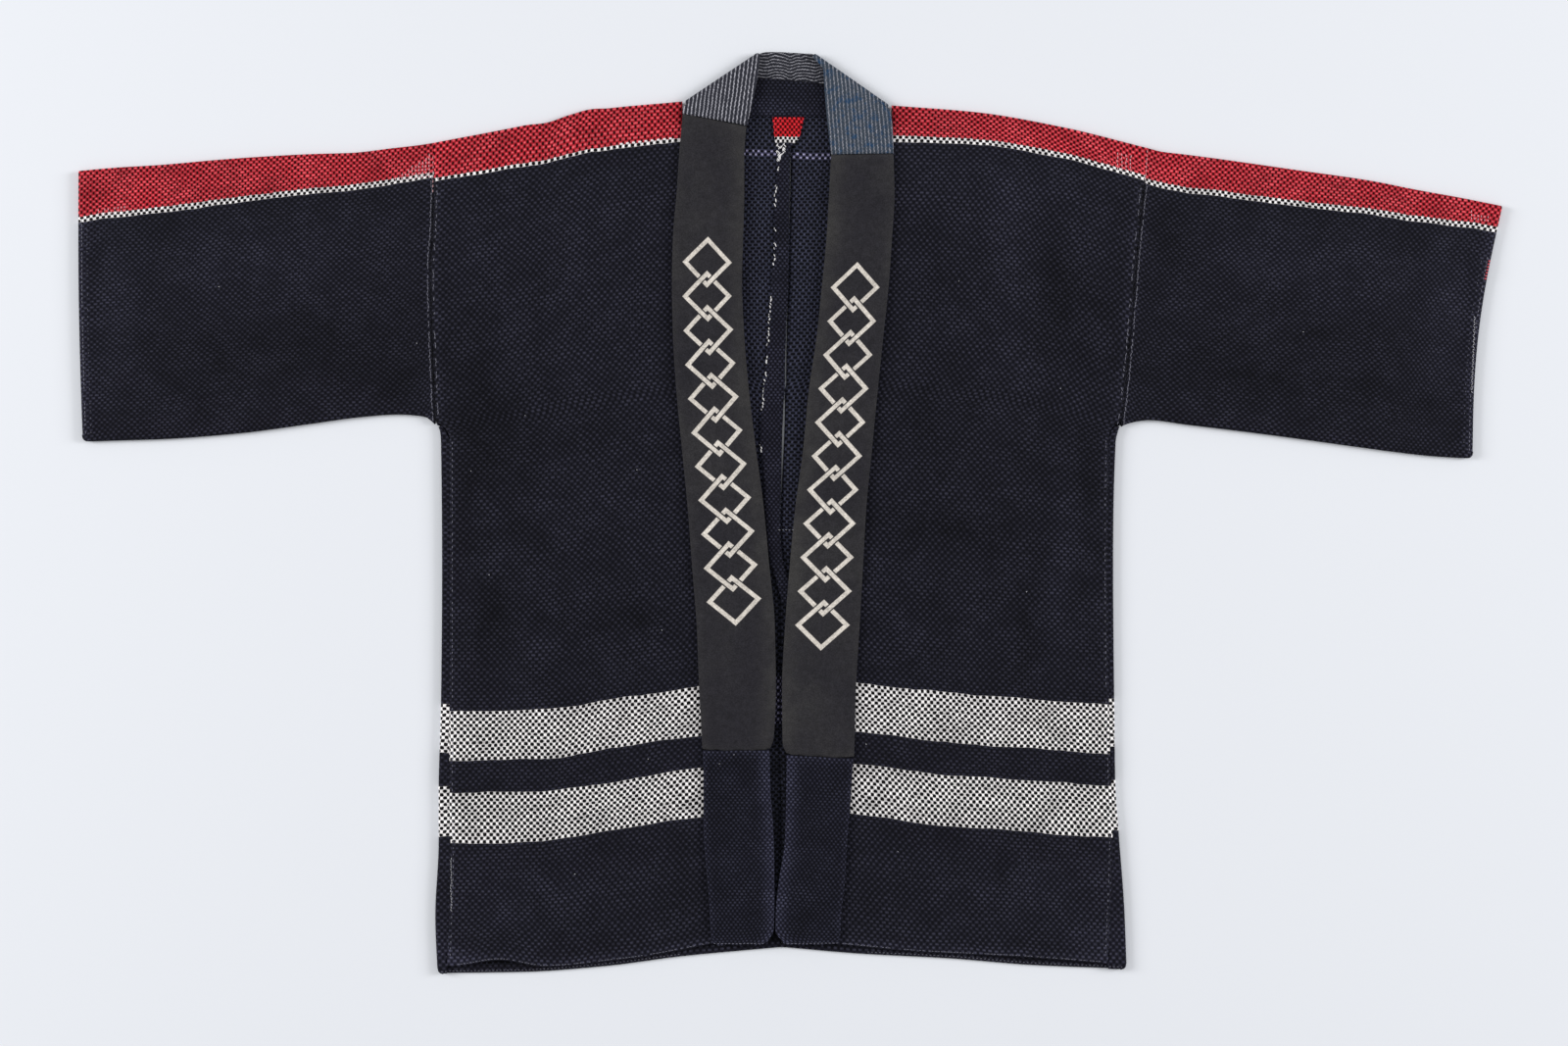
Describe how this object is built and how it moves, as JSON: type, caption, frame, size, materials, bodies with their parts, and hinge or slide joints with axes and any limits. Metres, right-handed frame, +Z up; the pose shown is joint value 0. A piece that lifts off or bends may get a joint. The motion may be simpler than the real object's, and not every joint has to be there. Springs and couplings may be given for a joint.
{
  "type": "happi coat laid flat",
  "caption": "Short straight-sleeved cotton happi coat laid flat with its front up, with a long folded collar, striped over-collar and tube sleeves.",
  "frame": {"origin": "on the surface that the coat lies on, under the middle of its bounding box", "axes": "+X across the coat to the viewer's right, which is the wearer's left sleeve; +Y up to the collar; +Z up from the surface"},
  "size_m": [1.2607, 0.8165, 0.0076],
  "materials": {
    "body_cotton": "quilted-weave navy cotton with a red shoulder band and black and white bands, matt",
    "sleeve_cotton": "quilted-weave cotton, red above and navy below, matt",
    "collar_cotton": "plain black cotton, worn paler along its edges",
    "lower_collar_cotton": "quilted-weave navy cotton, matt",
    "striped_cotton": "slate cotton with thin light stripes, matt",
    "under_collar_cotton": "plain navy cotton, matt",
    "inside_cotton": "reverse of the quilted-weave cotton, matt"
  },
  "bodies": {
    "root": {"body_right": "body_cotton", "body_left": "body_cotton", "sleeve_right": "sleeve_cotton", "sleeve_left": "sleeve_cotton", "collar_right": "collar_cotton", "collar_left": "collar_cotton", "collar_lower_right": "lower_collar_cotton", "collar_lower_left": "lower_collar_cotton", "collar_neck": "striped_cotton", "collar_base": "under_collar_cotton", "centre_back_seam_allowance": "inside_cotton"}
  },
  "joints": []
}
